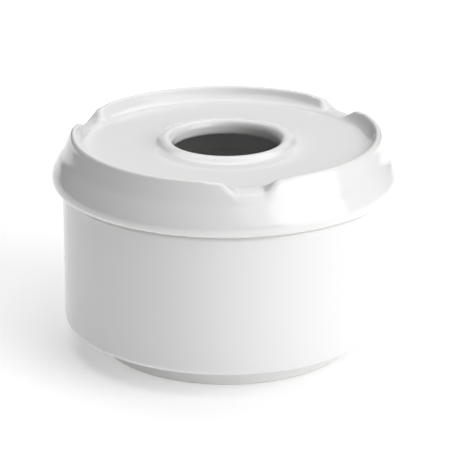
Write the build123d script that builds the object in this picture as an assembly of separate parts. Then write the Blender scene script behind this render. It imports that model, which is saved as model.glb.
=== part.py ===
from build123d import *
from math import cos, radians, sin, sqrt
import os

# Bowl, millimetres
WALL_R = 51.5            # outside radius of the bowl wall
BOWL_H = 52.4            # table to the mouth, where the lid sits
WALL_T = 4.0             # wall thickness
WALL_CORNER_R = 2.3      # rounding under the wall
FOOT_INSET = 11.1        # foot ring in from the wall
FOOT_H = 7.6             # table to the step over the foot ring
FOOT_T = 4.2             # width of the foot ring
FLOOR_UP = 1.8           # floor of the cup above the step
FLOOR_T = 4.8            # floor thickness inside the foot ring
CUP_CORNER_R = 12.0      # rounding between floor and wall, inside
MOUTH_R = 1.1            # rounding of both mouth edges

# Lid, millimetres
LID_RISE = 16.8          # mouth of the bowl to the crest of the rim
HOLE_R = 16.8            # centre hole
PLATE_DROP = 3.85        # crest of the rim above the plate
PLATE_T = 3.0            # plate thickness
BEAD_R = 1.8             # roll from the hole up to the crest of its bead
BEAD_UP = 1.9            # crest of the bead above the plate
BEAD_OUT = 1.9           # slope from the crest of the bead out to the plate
RIM_INSET = 3.75         # circle of the rim crest in from the bowl wall
RIM_ROLL = 1.15          # half thickness of the rim at its crest
FLANK_LEAN = 17.0        # outward lean where the flank leaves the rim, degrees
COVE_R = 4.0             # hollow from the plate up to the rim
BULGE_OUT = 3.2          # bulge past the bowl wall
BULGE_UP = 2.9           # widest level of the bulge above the mouth
SEAT_OVERHANG = 0.3      # lower edge of the lid past the bowl wall
RING_CLEARANCE = 0.5     # locating ring to bowl mouth, each side
RING_T = 3.2             # locating ring thickness
RING_DEPTH = 4.2         # locating ring below the mouth
SHELL_IN = 4.6           # hollow of the lid past the inside of the ring

# Cigarette rests
REST_COUNT = 3
REST_START = -81.5       # azimuth of the first rest, degrees
REST_FLAT = 3.4          # half width of the flat bottom of a rest
REST_R = 3.8             # radius from the flat bottom up into the side of a rest
REST_SHOULDER_R = 5.0    # rounding where a rest runs out into the rim
REST_ABOVE_PLATE = 0.45  # lowest line of a rest above the plate

EDGE_R = 0.8             # small rounding of the foot, the step and the ring

BOWL_IN_R = WALL_R - WALL_T
FOOT_R = WALL_R - FOOT_INSET
FOOT_IN_R = FOOT_R - FOOT_T
FLOOR_Z = FOOT_H + FLOOR_UP
RECESS_Z = FLOOR_Z - FLOOR_T
TOTAL_H = BOWL_H + LID_RISE
PLATE_Z = TOTAL_H - PLATE_DROP
UNDER_Z = PLATE_Z - PLATE_T
ROLL_Z = TOTAL_H - RIM_ROLL
RIM_R = WALL_R - RIM_INSET
RING_OUT_R = BOWL_IN_R - RING_CLEARANCE
RING_IN_R = RING_OUT_R - RING_T
RING_LOW_Z = BOWL_H - RING_DEPTH
SEAT_R = WALL_R + SEAT_OVERHANG
BULGE_R = WALL_R + BULGE_OUT
BULGE_Z = BOWL_H + BULGE_UP


def turned(edges):
    """Solid of revolution about Z from the edges of one closed half section."""
    return revolve(Plane.XZ * make_face(edges), Axis.Z)


def corner(start, end, leaving):
    """Quarter round that leaves start in the given direction."""
    return TangentArc(start, end, tangent=leaving)


def make_bowl():
    foot = [
        Line((0, RECESS_Z), (FOOT_IN_R - EDGE_R, RECESS_Z)),
        corner((FOOT_IN_R - EDGE_R, RECESS_Z), (FOOT_IN_R, RECESS_Z - EDGE_R), (1, 0)),
        Line((FOOT_IN_R, RECESS_Z - EDGE_R), (FOOT_IN_R, EDGE_R)),
        corner((FOOT_IN_R, EDGE_R), (FOOT_IN_R + EDGE_R, 0), (0, -1)),
        Line((FOOT_IN_R + EDGE_R, 0), (FOOT_R - EDGE_R, 0)),
        corner((FOOT_R - EDGE_R, 0), (FOOT_R, EDGE_R), (1, 0)),
        Line((FOOT_R, EDGE_R), (FOOT_R, FOOT_H - EDGE_R)),
        corner((FOOT_R, FOOT_H - EDGE_R), (FOOT_R + EDGE_R, FOOT_H), (0, 1)),
    ]
    outside = [
        Line((FOOT_R + EDGE_R, FOOT_H), (WALL_R - WALL_CORNER_R, FOOT_H)),
        corner((WALL_R - WALL_CORNER_R, FOOT_H), (WALL_R, FOOT_H + WALL_CORNER_R), (1, 0)),
        Line((WALL_R, FOOT_H + WALL_CORNER_R), (WALL_R, BOWL_H - MOUTH_R)),
        corner((WALL_R, BOWL_H - MOUTH_R), (WALL_R - MOUTH_R, BOWL_H), (0, 1)),
    ]
    inside = [
        Line((WALL_R - MOUTH_R, BOWL_H), (BOWL_IN_R + MOUTH_R, BOWL_H)),
        corner((BOWL_IN_R + MOUTH_R, BOWL_H), (BOWL_IN_R, BOWL_H - MOUTH_R), (-1, 0)),
        Line((BOWL_IN_R, BOWL_H - MOUTH_R), (BOWL_IN_R, FLOOR_Z + CUP_CORNER_R)),
        corner((BOWL_IN_R, FLOOR_Z + CUP_CORNER_R), (BOWL_IN_R - CUP_CORNER_R, FLOOR_Z), (0, -1)),
        Line((BOWL_IN_R - CUP_CORNER_R, FLOOR_Z), (0, FLOOR_Z)),
        Line((0, FLOOR_Z), (0, RECESS_Z)),
    ]
    return turned(foot + outside + inside)


def rim_out():
    """Point where the roll of the rim runs out into the flank."""
    return (RIM_R + RIM_ROLL * cos(radians(FLANK_LEAN)),
            ROLL_Z + RIM_ROLL * sin(radians(FLANK_LEAN)))


def lid_top():
    """Hole, bead, plate, cove and rim, from the underside of the hole out to the outer side of the rim."""
    bead_r = HOLE_R + BEAD_R
    bead_z = PLATE_Z + BEAD_UP - BEAD_R
    plate_in = bead_r + BEAD_OUT
    reach = COVE_R + RIM_ROLL
    rise = PLATE_Z + COVE_R - ROLL_Z
    cove_in = RIM_R - sqrt(reach ** 2 - rise ** 2)
    touch = ((cove_in * RIM_ROLL + RIM_R * COVE_R) / reach,
             ((PLATE_Z + COVE_R) * RIM_ROLL + ROLL_Z * COVE_R) / reach)
    return [
        Line((HOLE_R, UNDER_Z + EDGE_R), (HOLE_R, bead_z)),
        corner((HOLE_R, bead_z), (bead_r, bead_z + BEAD_R), (0, 1)),
        Spline((bead_r, bead_z + BEAD_R), (bead_r + 0.5 * BEAD_OUT, PLATE_Z + 0.54 * BEAD_UP),
               (plate_in, PLATE_Z), tangents=[(1, 0), (1, 0)]),
        Line((plate_in, PLATE_Z), (cove_in, PLATE_Z)),
        corner((cove_in, PLATE_Z), touch, (1, 0)),
        ThreePointArc(touch, (RIM_R, TOTAL_H), rim_out()),
    ]


def lid_flank():
    """Outer side, hollow under the rim and full at the bulge, then tucked in to the seat."""
    top_r, top_z = rim_out()
    flare = BULGE_R - top_r
    fall = top_z - BULGE_Z
    leaving = (sin(radians(FLANK_LEAN)), -cos(radians(FLANK_LEAN)))
    tuck = SEAT_OVERHANG + 0.05
    return [
        Spline((top_r, top_z),
               (top_r + 0.2 * flare, top_z - 0.215 * fall),
               (top_r + 0.4 * flare, top_z - 0.425 * fall),
               (top_r + 0.685 * flare, top_z - 0.635 * fall),
               (BULGE_R, BULGE_Z),
               tangents=[leaving, (0, -1)]),
        Spline((BULGE_R, BULGE_Z), (BULGE_R - 0.14 * BULGE_OUT, BULGE_Z - 0.5 * BULGE_UP),
               (SEAT_R, BOWL_H + tuck), tangents=[(0, -1), (-1, -0.55)]),
        Line((SEAT_R, BOWL_H + tuck), (SEAT_R - tuck, BOWL_H)),
    ]


def lid_underside():
    """Seat, locating ring, hollow of the lid and the underside of the plate."""
    seat_in = SEAT_R - SEAT_OVERHANG - 0.05
    hip = (RING_IN_R + SHELL_IN, (BOWL_H + UNDER_Z) / 2)
    return [
        Line((seat_in, BOWL_H), (RING_OUT_R, BOWL_H)),
        Line((RING_OUT_R, BOWL_H), (RING_OUT_R, RING_LOW_Z + EDGE_R)),
        corner((RING_OUT_R, RING_LOW_Z + EDGE_R), (RING_OUT_R - EDGE_R, RING_LOW_Z), (0, -1)),
        Line((RING_OUT_R - EDGE_R, RING_LOW_Z), (RING_IN_R + EDGE_R, RING_LOW_Z)),
        corner((RING_IN_R + EDGE_R, RING_LOW_Z), (RING_IN_R, RING_LOW_Z + EDGE_R), (-1, 0)),
        Line((RING_IN_R, RING_LOW_Z + EDGE_R), (RING_IN_R, BOWL_H + EDGE_R)),
        Spline((RING_IN_R, BOWL_H + EDGE_R), hip, (RING_IN_R, UNDER_Z), tangents=[(0, 1), (-1, 0)]),
        Line((RING_IN_R, UNDER_Z), (HOLE_R + EDGE_R, UNDER_Z)),
        corner((HOLE_R + EDGE_R, UNDER_Z), (HOLE_R, UNDER_Z + EDGE_R), (-1, 0)),
    ]


def rest_cutter():
    """Trough with a flat bottom that runs outward through the rim, its shoulders rounded off."""
    low = PLATE_Z + REST_ABOVE_PLATE
    centre = low + REST_R
    shoulder = TOTAL_H - REST_SHOULDER_R
    reach = REST_R + REST_SHOULDER_R
    run = sqrt(reach ** 2 - (centre - shoulder) ** 2)
    half = REST_FLAT + run
    meet_x = REST_FLAT + run * REST_R / reach
    meet_z = centre + (shoulder - centre) * REST_R / reach
    above = TOTAL_H + reach
    edges = [
        Line((-REST_FLAT, low), (REST_FLAT, low)),
        TangentArc((REST_FLAT, low), (meet_x, meet_z), tangent=(1, 0)),
        TangentArc((half, TOTAL_H), (meet_x, meet_z), tangent=(-1, 0)),
        Polyline((half, TOTAL_H), (half, above), (-half, above), (-half, TOTAL_H)),
        TangentArc((-half, TOTAL_H), (-meet_x, meet_z), tangent=(1, 0)),
        TangentArc((-REST_FLAT, low), (-meet_x, meet_z), tangent=(-1, 0)),
    ]
    inner = RIM_R - RIM_ROLL - COVE_R
    return extrude(Plane.YZ.offset(inner) * make_face(edges), BULGE_R + reach - inner)


def make_lid():
    lid = turned(lid_top() + lid_flank() + lid_underside())
    for k in range(REST_COUNT):
        lid -= Rot(0, 0, REST_START + k * 360 / REST_COUNT) * rest_cutter()
    return lid


def save(shape, name):
    solid = shape.solid()
    solid.label = name
    export_step(solid, "parts/" + name + ".step")


os.makedirs("parts", exist_ok=True)
save(make_bowl(), "bowl")
save(make_lid(), "lid")
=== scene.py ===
from math import atan2, cos, hypot, pi, radians, sin, tan

import bpy
from bpy.props import FloatProperty, FloatVectorProperty, IntProperty, PointerProperty
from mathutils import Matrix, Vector


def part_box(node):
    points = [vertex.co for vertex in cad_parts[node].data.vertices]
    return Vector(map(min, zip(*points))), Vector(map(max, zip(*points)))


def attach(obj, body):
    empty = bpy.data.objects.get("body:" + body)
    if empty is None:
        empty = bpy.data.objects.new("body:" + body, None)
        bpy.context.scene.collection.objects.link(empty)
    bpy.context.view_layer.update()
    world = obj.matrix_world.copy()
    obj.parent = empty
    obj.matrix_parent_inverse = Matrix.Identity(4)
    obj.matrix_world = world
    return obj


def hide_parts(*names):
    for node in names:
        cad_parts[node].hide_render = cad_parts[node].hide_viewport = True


bl_info = {
    "name": "Lidded Porcelain Ashtray",
    "version": (1, 0, 0),
    "blender": (4, 5, 0),
    "location": "3D View > Sidebar > Ashtray",
    "description": "Turns a porcelain ashtray's bowl and lid and sets them in a studio",
    "category": "Object",
}

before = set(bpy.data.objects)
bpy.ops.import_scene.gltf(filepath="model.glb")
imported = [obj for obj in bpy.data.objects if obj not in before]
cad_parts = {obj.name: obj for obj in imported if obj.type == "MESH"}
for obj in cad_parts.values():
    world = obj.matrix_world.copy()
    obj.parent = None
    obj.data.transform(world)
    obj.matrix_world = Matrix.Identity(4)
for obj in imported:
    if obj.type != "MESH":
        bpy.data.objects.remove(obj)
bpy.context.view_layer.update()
BOWL_LOW, BOWL_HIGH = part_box("bowl")
LID_LOW, LID_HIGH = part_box("lid")

MM = 0.001
WALL_R = BOWL_HIGH.x
MOUTH_Z = BOWL_HIGH.z
BULGE_R = LID_HIGH.x
CREST_Z = LID_HIGH.z
RING_LOW_Z = LID_LOW.z

# Down the bead's slope: share of the way out, share of its height that is left.
BEAD_SLOPE = ((0.13, 0.8), (0.26, 0.48), (0.44, 0.22), (0.68, 0.06), (1.0, 0.0))
# Down the flank to the bulge: share of the flare, share of the fall.
FLANK = ((0.2, 0.215), (0.4, 0.425), (0.685, 0.635), (1.0, 1.0))

# Soft boxes: azimuth and elevation in degrees, size in metres, setting of the power.
SOFT_BOXES = {
    "key_box": (-30, 22, 1.5, "key_power"),
    "front_box": (-45, 45, 1.8, "front_power"),
    "top_box": (90, 75, 2.0, "top_power"),
    "back_box": (90, 14, 0.9, "back_power"),
    "rear_box": (90, 45, 1.2, "rear_power"),
}


# ---------------------------------------------------------------- settings

class BowlSettings(bpy.types.PropertyGroup):
    """Sizes of the bowl that the frame's box doesn't give."""

    wall: FloatProperty(
        name="Wall", description="Thickness of the wall",
        default=4.0 * MM, min=1.0 * MM, unit="LENGTH")
    wall_corner: FloatProperty(
        name="Wall Corner", description="Rounding where the wall turns under",
        default=2.3 * MM, min=0.2 * MM, unit="LENGTH")
    foot_inset: FloatProperty(
        name="Foot Inset", description="Foot ring in from the wall",
        default=11.1 * MM, min=3.0 * MM, unit="LENGTH")
    foot_height: FloatProperty(
        name="Foot Height", description="Table to the step above the foot ring",
        default=7.6 * MM, min=2.0 * MM, unit="LENGTH")
    foot_width: FloatProperty(
        name="Foot Width", description="Width of the foot ring",
        default=4.2 * MM, min=2.0 * MM, unit="LENGTH")
    floor_up: FloatProperty(
        name="Floor Above Step", description="Floor of the cup above the step",
        default=1.8 * MM, min=0.5 * MM, unit="LENGTH")
    floor: FloatProperty(
        name="Floor", description="Thickness of the floor inside the foot ring",
        default=4.8 * MM, min=1.0 * MM, unit="LENGTH")
    cup_corner: FloatProperty(
        name="Cup Corner", description="Rounding between floor and wall inside the cup",
        default=12.0 * MM, min=1.0 * MM, unit="LENGTH")
    mouth_round: FloatProperty(
        name="Mouth Rounding", description="Rounding of both edges of the mouth",
        default=1.1 * MM, min=0.2 * MM, unit="LENGTH")
    edge_round: FloatProperty(
        name="Edge Rounding", description="Small rounding of the foot and the step",
        default=0.8 * MM, min=0.1 * MM, unit="LENGTH")
    columns: IntProperty(
        name="Columns", description="Faces round the bowl", default=288, min=48, max=1024)


class LidSettings(bpy.types.PropertyGroup):
    """Sizes of the lid that the frame's box doesn't give."""

    hole: FloatProperty(
        name="Hole Radius", description="Radius of the centre hole",
        default=16.8 * MM, min=4.0 * MM, unit="LENGTH")
    plate_drop: FloatProperty(
        name="Plate Drop", description="Crest of the rim above the plate",
        default=3.85 * MM, min=0.5 * MM, unit="LENGTH")
    plate: FloatProperty(
        name="Plate", description="Thickness of the plate",
        default=3.0 * MM, min=1.0 * MM, unit="LENGTH")
    bead: FloatProperty(
        name="Bead Radius", description="Roll from the hole up to the crest of its bead",
        default=2.4 * MM, min=0.3 * MM, unit="LENGTH")
    bead_up: FloatProperty(
        name="Bead Height", description="Crest of the bead above the plate",
        default=1.9 * MM, min=0.3 * MM, unit="LENGTH")
    bead_out: FloatProperty(
        name="Bead Slope", description="Slope from the crest of the bead out to the level plate",
        default=11.0 * MM, min=0.2 * MM, unit="LENGTH")
    hole_under: FloatProperty(
        name="Hole Underside", description="Rounding under the centre hole",
        default=1.3 * MM, min=0.2 * MM, unit="LENGTH")
    rim_inset: FloatProperty(
        name="Rim Inset", description="Circle of the rim's crest in from the bowl wall",
        default=3.75 * MM, min=1.0 * MM, unit="LENGTH")
    rim_roll: FloatProperty(
        name="Rim Roll", description="Half the thickness of the rim at its crest",
        default=1.15 * MM, min=0.3 * MM, unit="LENGTH")
    flank_lean: FloatProperty(
        name="Flank Lean", description="Outward lean where the flank leaves the rim",
        default=radians(17.0), min=0.0, unit="ROTATION")
    cove: FloatProperty(
        name="Cove Width", description="Hollow that rises from the level plate to the rim",
        default=6.6 * MM, min=2.0 * MM, unit="LENGTH")
    cove_slope: FloatProperty(
        name="Cove Slope", description="Slope of the hollow where it meets the roll of the rim",
        default=radians(57.0), min=radians(35.0), max=radians(80.0), unit="ROTATION")
    bulge_up: FloatProperty(
        name="Bulge Height", description="Widest level of the bulge above the bowl's mouth",
        default=2.9 * MM, min=0.5 * MM, unit="LENGTH")
    seat_overhang: FloatProperty(
        name="Seat Overhang", description="Lower edge of the lid past the bowl wall",
        default=0.3 * MM, min=0.0, unit="LENGTH")
    ring_clearance: FloatProperty(
        name="Ring Clearance", description="Locating ring to the mouth, on each side",
        default=0.5 * MM, min=0.1 * MM, unit="LENGTH")
    ring: FloatProperty(
        name="Ring", description="Thickness of the locating ring",
        default=3.2 * MM, min=1.0 * MM, unit="LENGTH")
    ring_round: FloatProperty(
        name="Ring Rounding", description="Small rounding of the lower edges of the ring",
        default=0.8 * MM, min=0.1 * MM, unit="LENGTH")
    shell_in: FloatProperty(
        name="Shell Hollow", description="Hollow of the lid past the inside of the ring",
        default=4.6 * MM, min=0.0, unit="LENGTH")
    rest_count: IntProperty(
        name="Rests", description="Cigarette rests in the rim", default=3, min=1, max=8)
    rest_start: FloatProperty(
        name="First Rest", description="Direction of the first rest from the X axis",
        default=radians(-81.5), unit="ROTATION")
    rest_flat: FloatProperty(
        name="Rest Flat", description="Half width of the flat bottom of a rest",
        default=3.2 * MM, min=0.0, unit="LENGTH")
    rest_side: FloatProperty(
        name="Rest Side", description="Width of the side of a rest, from its bottom to the crest",
        default=6.6 * MM, min=1.0 * MM, unit="LENGTH")
    rest_up: FloatProperty(
        name="Rest Height", description="Bottom of a rest above the plate, under the rim's crest",
        default=0.25 * MM, min=0.0, unit="LENGTH")
    rest_fall: FloatProperty(
        name="Rest Fall", description="Outward fall of the bottom of a rest, as a slope",
        default=0.2, min=0.0, max=0.5)
    rest_soft: FloatProperty(
        name="Rest Softness", description="How far the glaze rounds the edges of a rest",
        default=2.2 * MM, min=0.05 * MM, unit="LENGTH")
    columns: IntProperty(
        name="Columns per Rest", description="Faces round the lid for each rest",
        default=132, min=24, max=512)


class GlazeSettings(bpy.types.PropertyGroup):
    """Finish of the glaze and of the bare porcelain under it."""

    colour: FloatVectorProperty(
        name="Glaze", description="Colour of the glaze at its usual thickness",
        subtype="COLOR", size=3, min=0.0, max=1.0, default=(0.8, 0.802, 0.798))
    pooled: FloatVectorProperty(
        name="Pooled Glaze", description="Colour where the glaze lies thick in a hollow",
        subtype="COLOR", size=3, min=0.0, max=1.0, default=(0.76, 0.772, 0.768))
    thin: FloatVectorProperty(
        name="Thin Glaze", description="Colour where the glaze draws thin over an edge",
        subtype="COLOR", size=3, min=0.0, max=1.0, default=(0.825, 0.818, 0.802))
    bare: FloatVectorProperty(
        name="Bare Porcelain", description="Colour of the unglazed rings that stand in the kiln",
        subtype="COLOR", size=3, min=0.0, max=1.0, default=(0.68, 0.655, 0.61))
    bare_band: FloatProperty(
        name="Bare Band", description="Glaze line above the edge that stands in the kiln",
        default=0.45 * MM, min=0.0, unit="LENGTH")
    roughness: FloatProperty(
        name="Glaze Roughness", description="Roughness of the fired glaze",
        subtype="FACTOR", default=0.16, min=0.0, max=1.0)
    bare_roughness: FloatProperty(
        name="Bare Roughness", description="Roughness of the bare porcelain",
        subtype="FACTOR", default=0.78, min=0.0, max=1.0)
    ripple: FloatProperty(
        name="Ripple", description="Height of the slow ripple in the glaze",
        default=0.03 * MM, min=0.0, unit="LENGTH")
    ripple_size: FloatProperty(
        name="Ripple Size", description="Distance from one ripple to the next",
        default=11.0 * MM, min=1.0 * MM, unit="LENGTH")
    peel: FloatProperty(
        name="Peel", description="Height of the fine orange peel in the glaze",
        default=0.003 * MM, min=0.0, unit="LENGTH")
    peel_size: FloatProperty(
        name="Peel Size", description="Distance between bumps of the orange peel",
        default=0.9 * MM, min=0.1 * MM, unit="LENGTH")


class StudioSettings(bpy.types.PropertyGroup):
    """Camera, lights and floor."""

    camera_distance: FloatProperty(
        name="Camera Distance", description="Camera to the point on the axis that it circles",
        default=0.824, min=0.2, unit="LENGTH")
    camera_height: FloatProperty(
        name="Axis Height", description="Height on the axis that the distance is measured from",
        default=0.0283, unit="LENGTH")
    camera_elevation: FloatProperty(
        name="Camera Elevation", description="Angle of the camera above the table",
        default=radians(20.79), unit="ROTATION")
    camera_tilt: FloatProperty(
        name="Camera Tilt", description="Angle that the camera looks down by",
        default=radians(20.17), unit="ROTATION")
    camera_aside: FloatProperty(
        name="Camera Aside", description="Camera past the middle of the bowl, to the right",
        default=-0.36 * MM, unit="LENGTH")
    lens: FloatProperty(
        name="Lens", description="Focal length in millimetres on a 36 mm sensor",
        default=206.9, min=20.0)
    floor_colour: FloatVectorProperty(
        name="Floor", description="Colour of the table top",
        subtype="COLOR", size=3, min=0.0, max=1.0, default=(0.9, 0.9, 0.9))
    floor_glow: FloatProperty(
        name="Floor Glow", description="Light that the table top gives off by itself",
        default=0.31, min=0.0)
    lamp_distance: FloatProperty(
        name="Lamp Distance", description="Soft boxes to the middle of the ashtray",
        default=1.7, min=0.5, unit="LENGTH")
    key_power: FloatProperty(
        name="Key Light", description="Power of the low soft box on the right, in watts",
        default=16.4, min=0.0)
    front_power: FloatProperty(
        name="Front Light", description="Power of the high soft box at the front right, in watts",
        default=11.6, min=0.0)
    top_power: FloatProperty(
        name="Top Light", description="Power of the wide soft box overhead, in watts",
        default=21.0, min=0.0)
    back_power: FloatProperty(
        name="Back Light", description="Power of the low soft box behind, in watts",
        default=1.8, min=0.0)
    rear_power: FloatProperty(
        name="Rear Light", description="Power of the high soft box behind, in watts",
        default=2.5, min=0.0)


# ---------------------------------------------------------------- shapes

def soft_min(first, second, softness):
    """The smaller of two heights, with the crease between them rounded off."""
    share = min(1.0, max(0.0, 0.5 + 0.5 * (second - first) / softness))
    return second + (first - second) * share - softness * share * (1.0 - share)


class Section:
    """Half section of a turned piece, as radius and height points from start to end."""

    CURVE_STEP = 0.45 * MM   # between the points of a curve
    FINE_STEP = 0.8 * MM     # between the points of a short line near an edge
    COARSE_STEP = 2.2 * MM   # between the points of any other line
    SHORTEST = 0.05 * MM     # least length that a bend is measured over
    SHARP = 1.2 * MM         # a rounding as tight as this counts as a full edge

    def __init__(self, r, z):
        self.points = [(r, z)]

    def line(self, r, z, step=COARSE_STEP):
        r0, z0 = self.points[-1]
        steps = max(1, round(hypot(r - r0, z - z0) / step))
        for i in range(1, steps + 1):
            self.points.append((r0 + (r - r0) * i / steps, z0 + (z - z0) * i / steps))

    def arc(self, centre_r, centre_z, r, z, clockwise=False):
        """Circular arc about a centre to the point r, z."""
        r0, z0 = self.points[-1]
        radius = hypot(r0 - centre_r, z0 - centre_z)
        start = atan2(z0 - centre_z, r0 - centre_r)
        sweep = (atan2(z - centre_z, r - centre_r) - start) % (2 * pi)
        if clockwise:
            sweep -= 2 * pi
        steps = max(6, round(abs(sweep) * radius / self.CURVE_STEP))
        for i in range(1, steps + 1):
            turn = start + sweep * i / steps
            self.points.append((centre_r + radius * cos(turn), centre_z + radius * sin(turn)))

    def curve(self, through, leaving, arriving):
        """Smooth curve through the given points, with its first and last directions."""
        knots = [self.points[-1], *through]
        spans = [hypot(b[0] - a[0], b[1] - a[1]) for a, b in zip(knots, knots[1:])]
        slopes = [leaving]
        for i in range(1, len(knots) - 1):
            before, after = spans[i - 1], spans[i]
            slopes.append(tuple(
                ((knots[i][k] - knots[i - 1][k]) / before * after
                 + (knots[i + 1][k] - knots[i][k]) / after * before) / (before + after)
                for k in (0, 1)))
        slopes.append(arriving)
        for i, span in enumerate(spans):
            steps = max(4, round(span / self.CURVE_STEP))
            for j in range(1, steps + 1):
                t = j / steps
                ease = t * t * (3 - 2 * t)
                out = t * (1 - t) ** 2 * span
                back = t * t * (t - 1) * span
                self.points.append(tuple(
                    knots[i][k] * (1 - ease) + knots[i + 1][k] * ease
                    + slopes[i][k] * out + slopes[i + 1][k] * back
                    for k in (0, 1)))

    def rise(self, r, z, slope):
        """Curve that leaves level ground and steepens, up to the point r, z and its slope."""
        r0, z0 = self.points[-1]
        power = slope * (r - r0) / (z - z0)
        steps = max(8, round(hypot(r - r0, z - z0) / self.CURVE_STEP))
        for i in range(1, steps + 1):
            self.points.append((r0 + (r - r0) * i / steps, z0 + (z - z0) * (i / steps) ** power))

    def run_outside_first(self):
        """Puts the points in the order that turns the faces outward."""
        ring = self.points
        area = sum(r0 * z1 - r1 * z0 for (r0, z0), (r1, z1) in zip(ring, ring[1:] + ring[:1]))
        if area > 0.0:
            ring.reverse()

    def bends(self):
        """How sharply the outline turns at each point: 1 over an edge, -1 in a hollow."""
        ring = self.points
        count = len(ring)
        turns = []
        for i in range(count):
            (r0, z0), (r1, z1), (r2, z2) = ring[i - 1], ring[i], ring[(i + 1) % count]
            first = atan2(z1 - z0, r1 - r0)
            second = atan2(z2 - z1, r2 - r1)
            turn = (second - first + pi) % (2 * pi) - pi
            length = (hypot(r1 - r0, z1 - z0) + hypot(r2 - r1, z2 - z1)) / 2
            turns.append(turn / max(length, self.SHORTEST) * self.SHARP)
        for _ in range(3):
            turns = [(turns[i - 1] + 2 * turns[i] + turns[(i + 1) % count]) / 4
                     for i in range(count)]
        return [max(-1.0, min(1.0, -turn)) for turn in turns]


def turned_piece(name, section, azimuths, reshape=None):
    """Closed mesh of a section carried round the axis, with the glaze's lie kept at every point."""
    section.run_outside_first()
    outline = list(zip(section.points, section.bends()))
    columns = len(azimuths)
    vertices, lie, number = [], [], {}
    for i, azimuth in enumerate(azimuths):
        for j, ((r, z), bend) in enumerate(outline):
            if r == 0.0 and i > 0:
                number[i, j] = number[0, j]
                continue
            number[i, j] = len(vertices)
            height = reshape(r, z, azimuth) if reshape else z
            vertices.append((r * cos(azimuth), r * sin(azimuth), height))
            lie.append(bend)
    faces = []
    for i in range(columns):
        there = (i + 1) % columns
        for j in range(len(outline)):
            k = (j + 1) % len(outline)
            corners = (number[i, j], number[i, k], number[there, k], number[there, j])
            face = list(dict.fromkeys(corners))
            if len(face) > 2:
                faces.append(face)
    mesh = bpy.data.meshes.new(name)
    mesh.from_pydata(vertices, [], faces)
    mesh.attributes.new("lie", "FLOAT", "POINT").data.foreach_set("value", lie)
    mesh.polygons.foreach_set("use_smooth", [True] * len(faces))
    mesh.update()
    piece = bpy.data.objects.new(name, mesh)
    bpy.context.scene.collection.objects.link(piece)
    return piece


def even_azimuths(columns):
    return [2 * pi * i / columns for i in range(columns)]


def azimuths_round_rests(lid):
    """Directions round the lid, close together at the rests and wider between them."""
    sector = 2 * pi / lid.rest_count
    near = 0.35  # spacing at the middle of a rest, as a share of the even spacing
    directions = []
    for rest in range(lid.rest_count):
        middle = lid.rest_start + rest * sector
        for i in range(lid.columns):
            share = 2 * i / lid.columns - 1
            directions.append(middle + sector / 2 * (near * share + (1 - near) * share ** 3))
    return directions


# ---------------------------------------------------------------- bowl and lid outlines

def bowl_section(bowl):
    edge, lip, corner, cup = bowl.edge_round, bowl.mouth_round, bowl.wall_corner, bowl.cup_corner
    cup_r = WALL_R - bowl.wall
    foot_r = WALL_R - bowl.foot_inset
    foot_in = foot_r - bowl.foot_width
    step_z = bowl.foot_height
    floor_z = step_z + bowl.floor_up
    recess_z = floor_z - bowl.floor
    section = Section(0.0, recess_z)
    section.line(foot_in - edge, recess_z)
    section.arc(foot_in - edge, recess_z - edge, foot_in, recess_z - edge, clockwise=True)
    section.line(foot_in, edge)
    section.arc(foot_in + edge, edge, foot_in + edge, 0.0)
    section.line(foot_r - edge, 0.0, step=Section.FINE_STEP)
    section.arc(foot_r - edge, edge, foot_r, edge)
    section.line(foot_r, step_z - edge)
    section.arc(foot_r + edge, step_z - edge, foot_r + edge, step_z, clockwise=True)
    section.line(WALL_R - corner, step_z)
    section.arc(WALL_R - corner, step_z + corner, WALL_R, step_z + corner)
    section.line(WALL_R, MOUTH_Z - lip)
    section.arc(WALL_R - lip, MOUTH_Z - lip, WALL_R - lip, MOUTH_Z)
    section.line(cup_r + lip, MOUTH_Z, step=Section.FINE_STEP)
    section.arc(cup_r + lip, MOUTH_Z - lip, cup_r, MOUTH_Z - lip)
    section.line(cup_r, floor_z + cup)
    section.arc(cup_r - cup, floor_z + cup, cup_r - cup, floor_z, clockwise=True)
    section.line(0.0, floor_z)
    return section


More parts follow.
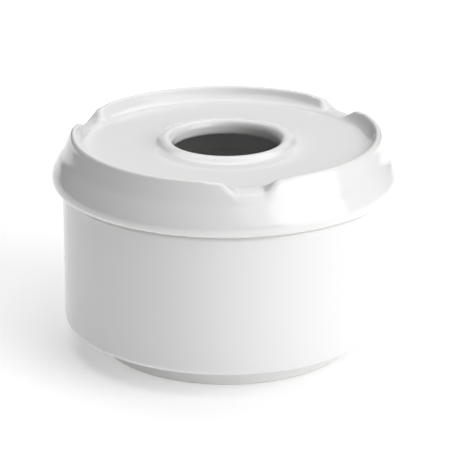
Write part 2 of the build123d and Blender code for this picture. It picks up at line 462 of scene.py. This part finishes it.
def lid_section(lid, cup_r):
    edge = lid.ring_round
    plate_z = CREST_Z - lid.plate_drop
    under_z = plate_z - lid.plate
    roll_z = CREST_Z - lid.rim_roll
    rim_r = WALL_R - lid.rim_inset
    lean = (sin(lid.flank_lean), cos(lid.flank_lean))
    top_r = rim_r + lid.rim_roll * lean[1]
    top_z = roll_z + lid.rim_roll * lean[0]
    bead_r = lid.hole + lid.bead
    bead_z = plate_z + lid.bead_up - lid.bead
    bulge_z = MOUTH_Z + lid.bulge_up
    ring_out = cup_r - lid.ring_clearance
    ring_in = ring_out - lid.ring
    seat_r = WALL_R + lid.seat_overhang
    seat_in = 0.05 * MM  # the seat starts this far in from the outside of the wall
    tuck = lid.seat_overhang + seat_in
    tuck_way = (-0.876, -0.482)  # direction of the outline as it reaches the seat

    touch_r = rim_r - lid.rim_roll * sin(lid.cove_slope)
    touch_z = roll_z + lid.rim_roll * cos(lid.cove_slope)
    cove_in = touch_r - lid.cove

    section = Section(lid.hole, under_z + lid.hole_under)
    section.line(lid.hole, bead_z, step=Section.FINE_STEP)
    section.arc(bead_r, bead_z, bead_r, bead_z + lid.bead, clockwise=True)
    section.curve([(bead_r + out * lid.bead_out, plate_z + up * lid.bead_up)
                   for out, up in BEAD_SLOPE],
                  (1.0, 0.0), (1.0, 0.0))
    section.line(cove_in, plate_z)
    section.rise(touch_r, touch_z, tan(lid.cove_slope))
    section.arc(rim_r, roll_z, top_r, top_z, clockwise=True)

    fall = top_z - bulge_z
    flare = BULGE_R - top_r
    section.curve([(top_r + out * flare, top_z - down * fall) for out, down in FLANK],
                  (lean[0], -lean[1]), (0.0, -1.0))
    section.curve([(BULGE_R - 0.14 * (BULGE_R - WALL_R), bulge_z - 0.5 * lid.bulge_up),
                   (seat_r, MOUTH_Z + tuck)],
                  (0.0, -1.0), tuck_way)
    section.line(seat_r - tuck, MOUTH_Z)
    section.line(ring_out, MOUTH_Z, step=Section.FINE_STEP)
    section.line(ring_out, RING_LOW_Z + edge, step=Section.FINE_STEP)
    section.arc(ring_out - edge, RING_LOW_Z + edge, ring_out - edge, RING_LOW_Z, clockwise=True)
    section.line(ring_in + edge, RING_LOW_Z, step=Section.FINE_STEP)
    section.arc(ring_in + edge, RING_LOW_Z + edge, ring_in, RING_LOW_Z + edge, clockwise=True)
    section.line(ring_in, MOUTH_Z + edge, step=Section.FINE_STEP)
    section.curve([(ring_in + lid.shell_in, (MOUTH_Z + under_z) / 2), (ring_in, under_z)],
                  (0.0, 1.0), (-1.0, 0.0))
    section.line(lid.hole + lid.hole_under, under_z)
    section.arc(lid.hole + lid.hole_under, under_z + lid.hole_under,
                lid.hole, under_z + lid.hole_under, clockwise=True)
    section.points.pop()  # it is the first point again
    return section, cove_in


def rest_height(lid, aside):
    """Height of a rest's trough at a distance to one side of its middle line."""
    depth = lid.plate_drop - lid.rest_up
    share = max(0.0, (abs(aside) - lid.rest_flat) / lid.rest_side)
    if share > 1.0:
        return CREST_Z + depth * (share - 1.0) ** 2
    return CREST_Z - depth * (1.0 - share * share * (3.0 - 2.0 * share))


def rests_cut(lid, cove_in):
    """Function that lowers the top of the lid where a rest runs through the rim."""
    inner_soft = 0.15  # share of the softness that is left at the inner end of a rest
    under_z = CREST_Z - lid.plate_drop - lid.plate
    rim_r = WALL_R - lid.rim_inset
    sector = 2 * pi / lid.rest_count

    def reshape(r, z, azimuth):
        if z < under_z + lid.plate / 2 or r < cove_in - lid.cove:
            return z
        off = (azimuth - lid.rest_start + sector / 2) % sector - sector / 2
        outward = min(1.0, max(0.0, (r - cove_in) / (rim_r - cove_in)))
        trough = rest_height(lid, r * sin(off)) + lid.rest_fall * (rim_r - r)
        return soft_min(z, trough, lid.rest_soft * (inner_soft + (1 - inner_soft) * outward))

    return reshape


# ---------------------------------------------------------------- glaze

class Shade:
    """One shader socket. Sums, differences and products write their own Math nodes."""

    def __init__(self, graph, socket):
        self.graph = graph
        self.socket = socket

    def joined(self, operation, first, second):
        return self.graph.node("ShaderNodeMath", {"operation": operation}, {0: first, 1: second})

    def __add__(self, other):
        return self.joined("ADD", self, other)

    def __radd__(self, other):
        return self.joined("ADD", other, self)

    def __sub__(self, other):
        return self.joined("SUBTRACT", self, other)

    def __rsub__(self, other):
        return self.joined("SUBTRACT", other, self)

    def __mul__(self, other):
        return self.joined("MULTIPLY", self, other)

    def __rmul__(self, other):
        return self.joined("MULTIPLY", other, self)

    def above(self, level, width):
        """0 below the level and 1 above it, with a soft change of the given width."""
        return self.graph.node(
            "ShaderNodeMapRange", {"interpolation_type": "SMOOTHSTEP"},
            {"Value": self, "From Min": level - width / 2, "From Max": level + width / 2})


class Graph:
    """Node tree of one material."""

    def __init__(self, name):
        self.material = bpy.data.materials.new(name)
        self.material.use_nodes = True
        self.tree = self.material.node_tree
        self.tree.nodes.clear()

    def node(self, kind, settings=None, inputs=None, output=0):
        made = self.tree.nodes.new(kind)
        for key, value in (settings or {}).items():
            setattr(made, key, value)
        for key, value in (inputs or {}).items():
            if isinstance(value, Shade):
                self.tree.links.new(value.socket, made.inputs[key])
            else:
                made.inputs[key].default_value = value
        return Shade(self, made.outputs[output]) if made.outputs else None

    def noise(self, place, size, detail=2.0, roughness=0.5):
        return self.node("ShaderNodeTexNoise", None, {
            "Vector": place, "Scale": 1.0 / size, "Detail": detail, "Roughness": roughness})

    def mix(self, share, first, second):
        """From the first colour to the second as share goes from 0 to 1."""
        return self.node("ShaderNodeMix", {"data_type": "RGBA"},
                         {0: share, 6: first, 7: second}, output=2)


def opaque(colour):
    return (*colour, 1.0)


def glazed_porcelain(name, look, bare_level, seed):
    """White glaze, thin over edges and pooled in hollows, and bare porcelain below a level."""
    cloud_size, grain_size = 26.0 * MM, 0.22 * MM
    ragged_size, ragged_height = 1.7 * MM, 0.7 * MM
    glaze_line, glaze_step = 0.12 * MM, 0.05 * MM
    pit_spacing, pit_radius, pit_edge = 8.0 * MM, 0.022, 0.018  # radius in spacings
    pit_depth, grain_depth = 4.0, 3.0  # in heights of the orange peel
    # Where a change begins to show, and how wide it is.
    thin_at, thin_width = 0.62, 0.6
    pooled_at, pooled_width = 0.42, 0.7
    speck_at, speck_width = 0.56, 0.3
    # How much of each colour is mixed in.
    pooled_share, thin_share, cloud_share, pit_share, speck_share = 0.7, 0.6, 0.5, 0.45, 0.35
    cloud_sway, cloud_from = 0.3, 0.45
    cloud_rough, peel_rough, pit_rough = 0.05, 0.03, 0.2
    coat = 0.35

    graph = Graph(name)
    local = graph.node("ShaderNodeTexCoord", output="Object")
    # The seed gives each piece its own part of the noise.
    place = graph.node("ShaderNodeVectorMath", {"operation": "ADD"},
                       {0: local, 1: (seed, 0.37 * seed, 0.71 * seed)})
    height = graph.node("ShaderNodeSeparateXYZ", None, {0: local}, output="Z")
    lie = graph.node("ShaderNodeAttribute", {"attribute_name": "lie"}, output="Fac")

    ripple = graph.noise(place, look.ripple_size, detail=1.5)
    peel = graph.noise(place, look.peel_size, detail=1.0)
    cloud = graph.noise(place, cloud_size, detail=3.0)
    grain = graph.noise(place, grain_size, detail=3.0, roughness=0.7)
    ragged = graph.noise(place, ragged_size, detail=3.0, roughness=0.65)
    pits = graph.node("ShaderNodeTexVoronoi", {"feature": "F1"},
                      {"Vector": place, "Scale": 1.0 / pit_spacing})

    glazed = (height + (ragged - 0.5) * ragged_height).above(bare_level, glaze_line)
    bare = 1 - glazed
    pit = (1 - pits.above(pit_radius, pit_edge)) * glazed
    thin = (lie + (cloud - 0.5) * cloud_sway).above(thin_at, thin_width)
    pooled = (0.0 - lie + (cloud - 0.5) * cloud_sway).above(pooled_at, pooled_width)

    colour = graph.mix(pooled * pooled_share, opaque(look.colour), opaque(look.pooled))
    colour = graph.mix(thin * thin_share, colour, opaque(look.thin))
    colour = graph.mix((cloud - cloud_from) * cloud_share, colour, opaque(look.pooled))
    colour = graph.mix(pit * pit_share, colour, opaque(look.bare))
    speckled = graph.mix(grain.above(speck_at, speck_width) * speck_share,
                         opaque(look.bare), opaque(look.thin))
    colour = graph.mix(bare, colour, speckled)

    roughness = (look.roughness + (cloud - 0.5) * cloud_rough + (peel - 0.5) * peel_rough
                 + pit * pit_rough) * glazed
    roughness = roughness + bare * look.bare_roughness

    slow = graph.node("ShaderNodeBump", None, {
        "Strength": 1.0, "Distance": look.ripple, "Height": ripple * glazed})
    fine = graph.node("ShaderNodeBump", None, {
        "Strength": 1.0, "Distance": look.peel,
        "Height": peel * glazed - pit * pit_depth + grain * bare * grain_depth,
        "Normal": slow})
    step = graph.node("ShaderNodeBump", None, {
        "Strength": 1.0, "Distance": glaze_step, "Height": glazed, "Normal": fine})

    shader = graph.node("ShaderNodeBsdfPrincipled", None, {
        "Base Color": colour,
        "Roughness": roughness,
        "Normal": step,
        "IOR": 1.52,
        "Coat Weight": glazed * coat,
        "Coat Roughness": 0.06,
        "Coat IOR": 1.5,
    })
    graph.node("ShaderNodeOutputMaterial", None, {"Surface": shader})
    return graph.material


# ---------------------------------------------------------------- studio

def soft_box(name, studio, middle, azimuth, elevation, size, power):
    """Square soft box on a sphere round the ashtray, facing its middle."""
    away = Vector((cos(azimuth) * cos(elevation), sin(azimuth) * cos(elevation), sin(elevation)))
    data = bpy.data.lights.new(name, "AREA")
    data.shape = "SQUARE"
    data.size = size
    data.energy = power
    box = bpy.data.objects.new(name, data)
    box.location = middle + studio.lamp_distance * away
    box.rotation_euler = (-away).to_track_quat("-Z", "Y").to_euler()
    box.visible_camera = False
    bpy.context.scene.collection.objects.link(box)


def table_top(radius, rings, columns):
    """Round table top as a mesh of rings, level with the foot."""
    vertices = [(0.0, 0.0, 0.0)]
    for ring in range(1, rings + 1):
        r = radius * (ring / rings) ** 2
        for azimuth in even_azimuths(columns):
            vertices.append((r * cos(azimuth), r * sin(azimuth), 0.0))
    faces = [(0, 1 + i, 1 + (i + 1) % columns) for i in range(columns)]
    for ring in range(rings - 1):
        inner, outer = 1 + ring * columns, 1 + (ring + 1) * columns
        for i in range(columns):
            k = (i + 1) % columns
            faces.append((inner + i, outer + i, outer + k, inner + k))
    mesh = bpy.data.meshes.new("table_top")
    mesh.from_pydata(vertices, [], faces)
    mesh.update()
    top = bpy.data.objects.new("table_top", mesh)
    bpy.context.scene.collection.objects.link(top)
    return top


def table_finish(studio):
    cloud_size = 180.0 * MM
    darker = 0.985

    graph = Graph("pale_table")
    place = graph.node("ShaderNodeTexCoord", output="Object")
    cloud = graph.noise(place, cloud_size, detail=2.0)
    low = tuple(darker * part for part in studio.floor_colour)
    colour = graph.mix(cloud, opaque(low), opaque(studio.floor_colour))
    shader = graph.node("ShaderNodeBsdfPrincipled", None, {
        "Base Color": colour,
        "Roughness": 0.7,
        "Specular IOR Level": 0.1,
        "Emission Color": opaque(studio.floor_colour),
        "Emission Strength": studio.floor_glow,
    })
    graph.node("ShaderNodeOutputMaterial", None, {"Surface": shader})
    return graph.material


# ---------------------------------------------------------------- operators

def finished(piece, material, body, node):
    """Gives a piece its material, and stands it in for the frame's node on its body."""
    piece.data.materials.append(material)
    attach(piece, body)
    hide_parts(node)


class ASHTRAY_OT_bowl(bpy.types.Operator):
    """Turn the bowl: cup, wall and foot ring in one piece"""

    bl_idname = "ashtray.bowl"
    bl_label = "Make Bowl"

    def execute(self, context):
        bowl, look = context.scene.ashtray_bowl, context.scene.ashtray_glaze
        piece = turned_piece("bowl_glazed", bowl_section(bowl), even_azimuths(bowl.columns))
        material = glazed_porcelain("bowl_porcelain", look,
                                    bare_level=look.bare_band, seed=0.13)
        finished(piece, material, "bowl", "bowl")
        return {"FINISHED"}


class ASHTRAY_OT_lid(bpy.types.Operator):
    """Turn the lid and press the rests into its rim"""

    bl_idname = "ashtray.lid"
    bl_label = "Make Lid"

    def execute(self, context):
        lid, look = context.scene.ashtray_lid, context.scene.ashtray_glaze
        section, cove_in = lid_section(lid, WALL_R - context.scene.ashtray_bowl.wall)
        piece = turned_piece("lid_glazed", section, azimuths_round_rests(lid),
                             rests_cut(lid, cove_in))
        material = glazed_porcelain("lid_porcelain", look,
                                    bare_level=RING_LOW_Z + look.bare_band, seed=0.29)
        finished(piece, material, "lid", "lid")
        return {"FINISHED"}


class ASHTRAY_OT_studio(bpy.types.Operator):
    """Set up the table top, the soft lights and the camera"""

    bl_idname = "ashtray.studio"
    bl_label = "Set Up Studio"

    def execute(self, context):
        studio = context.scene.ashtray_studio
        table = table_top(radius=3.0, rings=12, columns=64)
        table.data.materials.append(table_finish(studio))

        middle = Vector((0.0, 0.0, CREST_Z / 2))
        for name, (azimuth, elevation, size, power) in SOFT_BOXES.items():
            soft_box(name, studio, middle, radians(azimuth), radians(elevation), size,
                     getattr(studio, power))

        context.scene.view_settings.view_transform = "Standard"

        data = bpy.data.cameras.new("camera")
        data.lens = studio.lens
        data.sensor_width = 36.0
        camera = bpy.data.objects.new("camera", data)
        level = studio.camera_distance * cos(studio.camera_elevation)
        up = studio.camera_distance * sin(studio.camera_elevation) + studio.camera_height
        camera.location = (studio.camera_aside, -level, up)
        camera.rotation_euler = (pi / 2 - studio.camera_tilt, 0.0, 0.0)
        context.scene.collection.objects.link(camera)
        context.scene.camera = camera
        return {"FINISHED"}


class ASHTRAY_PT_tools(bpy.types.Panel):
    """Pieces and settings of the ashtray"""

    bl_idname = "ASHTRAY_PT_tools"
    bl_label = "Lidded Ashtray"
    bl_space_type = "VIEW_3D"
    bl_region_type = "UI"
    bl_category = "Ashtray"

    def draw(self, context):
        layout = self.layout
        for operator, group in STEPS:
            layout.operator(operator.bl_idname)
            box = layout.box()
            settings = getattr(context.scene, group)
            for key in settings.__annotations__:
                box.prop(settings, key)
        for key in GlazeSettings.__annotations__:
            layout.prop(context.scene.ashtray_glaze, key)


STEPS = (
    (ASHTRAY_OT_bowl, "ashtray_bowl"),
    (ASHTRAY_OT_lid, "ashtray_lid"),
    (ASHTRAY_OT_studio, "ashtray_studio"),
)
SETTINGS = {
    "ashtray_bowl": BowlSettings,
    "ashtray_lid": LidSettings,
    "ashtray_glaze": GlazeSettings,
    "ashtray_studio": StudioSettings,
}
CLASSES = (*SETTINGS.values(), *(operator for operator, _ in STEPS), ASHTRAY_PT_tools)


def register():
    for cls in CLASSES:
        bpy.utils.register_class(cls)
    for name, group in SETTINGS.items():
        setattr(bpy.types.Scene, name, PointerProperty(type=group))


def unregister():
    for name in SETTINGS:
        delattr(bpy.types.Scene, name)
    for cls in reversed(CLASSES):
        bpy.utils.unregister_class(cls)


def main():
    register()
    bpy.ops.ashtray.bowl()
    bpy.ops.ashtray.lid()
    bpy.ops.ashtray.studio()


if __name__ == "__main__":
    main()
